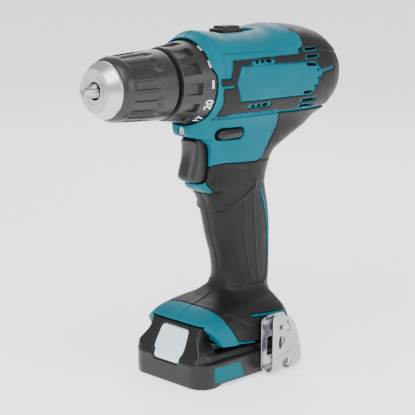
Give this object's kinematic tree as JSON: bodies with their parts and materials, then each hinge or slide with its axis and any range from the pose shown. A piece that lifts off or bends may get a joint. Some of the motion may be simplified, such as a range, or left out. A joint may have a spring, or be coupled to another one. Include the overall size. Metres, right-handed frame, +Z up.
{
  "type": "cordless drill",
  "caption": "Pistol-grip cordless drill-driver with keyless chuck, clutch ring, two-speed planetary gears, belt hook and slide-on battery.",
  "frame": {"origin": "middle of the battery's flat base, on the surface that the drill stands on", "axes": "+X forward along the chuck axis, +Y to the tool's left side, where the belt hook is, +Z up"},
  "size_m": [0.1953, 0.0729, 0.209],
  "materials": {
    "teal_plastic": "satin",
    "soft_grip": "matte",
    "black_plastic": "satin",
    "chuck_plastic": "satin",
    "button_plastic": "gloss",
    "lamp_lens": "clear",
    "bright_steel": "satin",
    "gear_steel": "machined",
    "windings": "enamelled",
    "bronze": "sintered",
    "cell_wrap": "gloss",
    "magnet": "matte",
    "lead_jacket": "satin"
  },
  "bodies": {
    "tool": {"housing_left": "teal_plastic", "housing_right": "teal_plastic", "grip_left": "soft_grip", "grip_right": "soft_grip", "housing_screws": "gear_steel", "gear_case": "black_plastic", "motor_bracket": "gear_steel", "spindle_bearing": "bright_steel", "clutch_spring": "bright_steel", "spring_plate": "bright_steel", "clutch_balls": "bright_steel", "clutch_ring_gear": "gear_steel", "first_ring_gear": "gear_steel", "motor_can": "gear_steel", "motor_magnets": "magnet", "brush_holder": "black_plastic", "carbon_brushes": "magnet", "motor_bearings": "bronze", "switch_body": "black_plastic", "trigger_spring": "bright_steel", "battery_terminals": "black_plastic", "led_lamp": "lamp_lens", "belt_hook": "bright_steel", "hook_screw": "bright_steel", "hook_inserts": "bronze", "motor_leads": "lead_jacket"},
    "clutch_setting": {"torque_ring": "chuck_plastic"},
    "speed_selector": {"speed_knob": "black_plastic"},
    "shift_ring": {"shift_ring_gear": "gear_steel", "shift_fork": "bright_steel"},
    "direction_selector": {"direction_lever": "black_plastic"},
    "trigger_button": {"trigger": "chuck_plastic"},
    "chuck": {"spindle": "bright_steel", "chuck_body": "bright_steel", "third_carrier": "gear_steel"},
    "chuck_collar": {"chuck_sleeve": "chuck_plastic", "chuck_nut": "bronze"},
    "second_stage": {"second_carrier": "gear_steel"},
    "first_stage": {"first_carrier": "gear_steel"},
    "rotor": {"rotor_core": "windings", "rotor_shaft": "bright_steel", "motor_pinion": "gear_steel", "motor_fan": "black_plastic"},
    "battery": {"battery_case": "black_plastic", "battery_cover": "black_plastic", "battery_cells": "cell_wrap", "button_spring": "bright_steel"},
    "release_button": {"battery_button": "button_plastic"},
    "jaw_1_body": {"jaw_1": "bright_steel"},
    "jaw_2_body": {"jaw_2": "bright_steel"},
    "jaw_3_body": {"jaw_3": "bright_steel"},
    "third_planet_1_body": {"third_planet_1": "gear_steel"},
    "third_planet_2_body": {"third_planet_2": "gear_steel"},
    "third_planet_3_body": {"third_planet_3": "gear_steel"},
    "second_planet_1_body": {"second_planet_1": "gear_steel"},
    "second_planet_2_body": {"second_planet_2": "gear_steel"},
    "second_planet_3_body": {"second_planet_3": "gear_steel"},
    "first_planet_1_body": {"first_planet_1": "gear_steel"},
    "first_planet_2_body": {"first_planet_2": "gear_steel"},
    "first_planet_3_body": {"first_planet_3": "gear_steel"}
  },
  "joints": [
    {"name": "chuck_spin", "type": "hinge", "parent": "tool", "child": "chuck", "pos_m": [0.06, 0, 0.178], "axis": [1, 0, 0], "continuous": true},
    {"name": "sleeve_turn", "type": "hinge", "parent": "chuck", "child": "chuck_collar", "pos_m": [0.07, 0, 0.178], "axis": [1, 0, 0], "range_deg": [0, 3600]},
    {"name": "torque_turn", "type": "hinge", "parent": "tool", "child": "clutch_setting", "pos_m": [0.035, 0, 0.178], "axis": [1, 0, 0], "range_deg": [-15, 285]},
    {"name": "speed_slide", "type": "slide", "parent": "tool", "child": "speed_selector", "axis": [-1, 0, 0], "range_m": [0, 0.007]},
    {"name": "shift_slide", "type": "slide", "parent": "tool", "child": "shift_ring", "axis": [-1, 0, 0], "range_m": [0, 0.0045]},
    {"name": "direction_slide", "type": "slide", "parent": "tool", "child": "direction_selector", "axis": [0, 1, 0], "range_m": [-0.0035, 0.0035]},
    {"name": "trigger_pull", "type": "slide", "parent": "tool", "child": "trigger_button", "axis": [-1, 0, 0], "range_m": [0, 0.006], "stiffness_N_per_m": 600, "springref_m": -0.004, "deforming": ["trigger_spring"]},
    {"name": "battery_slide", "type": "slide", "parent": "tool", "child": "battery", "axis": [1, 0, 0], "range_m": [0, 0.06]},
    {"name": "button_press", "type": "slide", "parent": "battery", "child": "release_button", "axis": [-1, 0, 0], "range_m": [0, 0.0025], "stiffness_N_per_m": 900, "springref_m": -0.002, "deforming": ["button_spring"]},
    {"name": "second_stage_spin", "type": "hinge", "parent": "tool", "child": "second_stage", "pos_m": [0.004, 0, 0.178], "axis": [1, 0, 0], "continuous": true},
    {"name": "first_stage_spin", "type": "hinge", "parent": "tool", "child": "first_stage", "pos_m": [-0.01, 0, 0.178], "axis": [1, 0, 0], "continuous": true},
    {"name": "rotor_spin", "type": "hinge", "parent": "tool", "child": "rotor", "pos_m": [-0.045, 0, 0.178], "axis": [1, 0, 0], "continuous": true},
    {"name": "jaw_1_slide", "type": "slide", "parent": "chuck", "child": "jaw_1_body", "axis": [0.9659, 0, -0.2588], "range_m": [-0.019, 0]},
    {"name": "jaw_2_slide", "type": "slide", "parent": "chuck", "child": "jaw_2_body", "axis": [0.9659, 0.2241, 0.1294], "range_m": [-0.019, 0]},
    {"name": "jaw_3_slide", "type": "slide", "parent": "chuck", "child": "jaw_3_body", "axis": [0.9659, -0.2241, 0.1294], "range_m": [-0.019, 0]},
    {"name": "third_planet_1_spin", "type": "hinge", "parent": "chuck", "child": "third_planet_1_body", "pos_m": [0.0103, 0.0099, 0.178], "axis": [1, 0, 0], "continuous": true},
    {"name": "third_planet_2_spin", "type": "hinge", "parent": "chuck", "child": "third_planet_2_body", "pos_m": [0.0103, -0.00495, 0.18657], "axis": [1, 0, 0], "continuous": true},
    {"name": "third_planet_3_spin", "type": "hinge", "parent": "chuck", "child": "third_planet_3_body", "pos_m": [0.0103, -0.00495, 0.16943], "axis": [1, 0, 0], "continuous": true},
    {"name": "second_planet_1_spin", "type": "hinge", "parent": "second_stage", "child": "second_planet_1_body", "pos_m": [-0.002, 0.0099, 0.178], "axis": [1, 0, 0], "continuous": true},
    {"name": "second_planet_2_spin", "type": "hinge", "parent": "second_stage", "child": "second_planet_2_body", "pos_m": [-0.002, -0.00495, 0.18657], "axis": [1, 0, 0], "continuous": true},
    {"name": "second_planet_3_spin", "type": "hinge", "parent": "second_stage", "child": "second_planet_3_body", "pos_m": [-0.002, -0.00495, 0.16943], "axis": [1, 0, 0], "continuous": true},
    {"name": "first_planet_1_spin", "type": "hinge", "parent": "first_stage", "child": "first_planet_1_body", "pos_m": [-0.0155, 0.009, 0.178], "axis": [1, 0, 0], "continuous": true},
    {"name": "first_planet_2_spin", "type": "hinge", "parent": "first_stage", "child": "first_planet_2_body", "pos_m": [-0.0155, -0.0045, 0.18579], "axis": [1, 0, 0], "continuous": true},
    {"name": "first_planet_3_spin", "type": "hinge", "parent": "first_stage", "child": "first_planet_3_body", "pos_m": [-0.0155, -0.0045, 0.17021], "axis": [1, 0, 0], "continuous": true}
  ],
  "couplings": [
    {"joint": "shift_slide", "follows": "speed_slide", "ratio": 0.64286},
    {"joint": "second_stage_spin", "follows": "chuck_spin", "ratio": 3.1429},
    {"joint": "first_stage_spin", "follows": "chuck_spin", "ratio": 11.524},
    {"joint": "rotor_spin", "follows": "chuck_spin", "ratio": 46.095},
    {"joint": "jaw_1_slide", "follows": "sleeve_turn", "m_per_rad": -0.00030239},
    {"joint": "jaw_2_slide", "follows": "sleeve_turn", "m_per_rad": -0.00030239},
    {"joint": "jaw_3_slide", "follows": "sleeve_turn", "m_per_rad": -0.00030239},
    {"joint": "third_planet_1_spin", "follows": "chuck_spin", "ratio": -3.75},
    {"joint": "third_planet_2_spin", "follows": "chuck_spin", "ratio": -3.75},
    {"joint": "third_planet_3_spin", "follows": "chuck_spin", "ratio": -3.75},
    {"joint": "second_planet_1_spin", "follows": "chuck_spin", "ratio": -10.057},
    {"joint": "second_planet_2_spin", "follows": "chuck_spin", "ratio": -10.057},
    {"joint": "second_planet_3_spin", "follows": "chuck_spin", "ratio": -10.057},
    {"joint": "first_planet_1_spin", "follows": "chuck_spin", "ratio": -34.571},
    {"joint": "first_planet_2_spin", "follows": "chuck_spin", "ratio": -34.571},
    {"joint": "first_planet_3_spin", "follows": "chuck_spin", "ratio": -34.571}
  ]
}
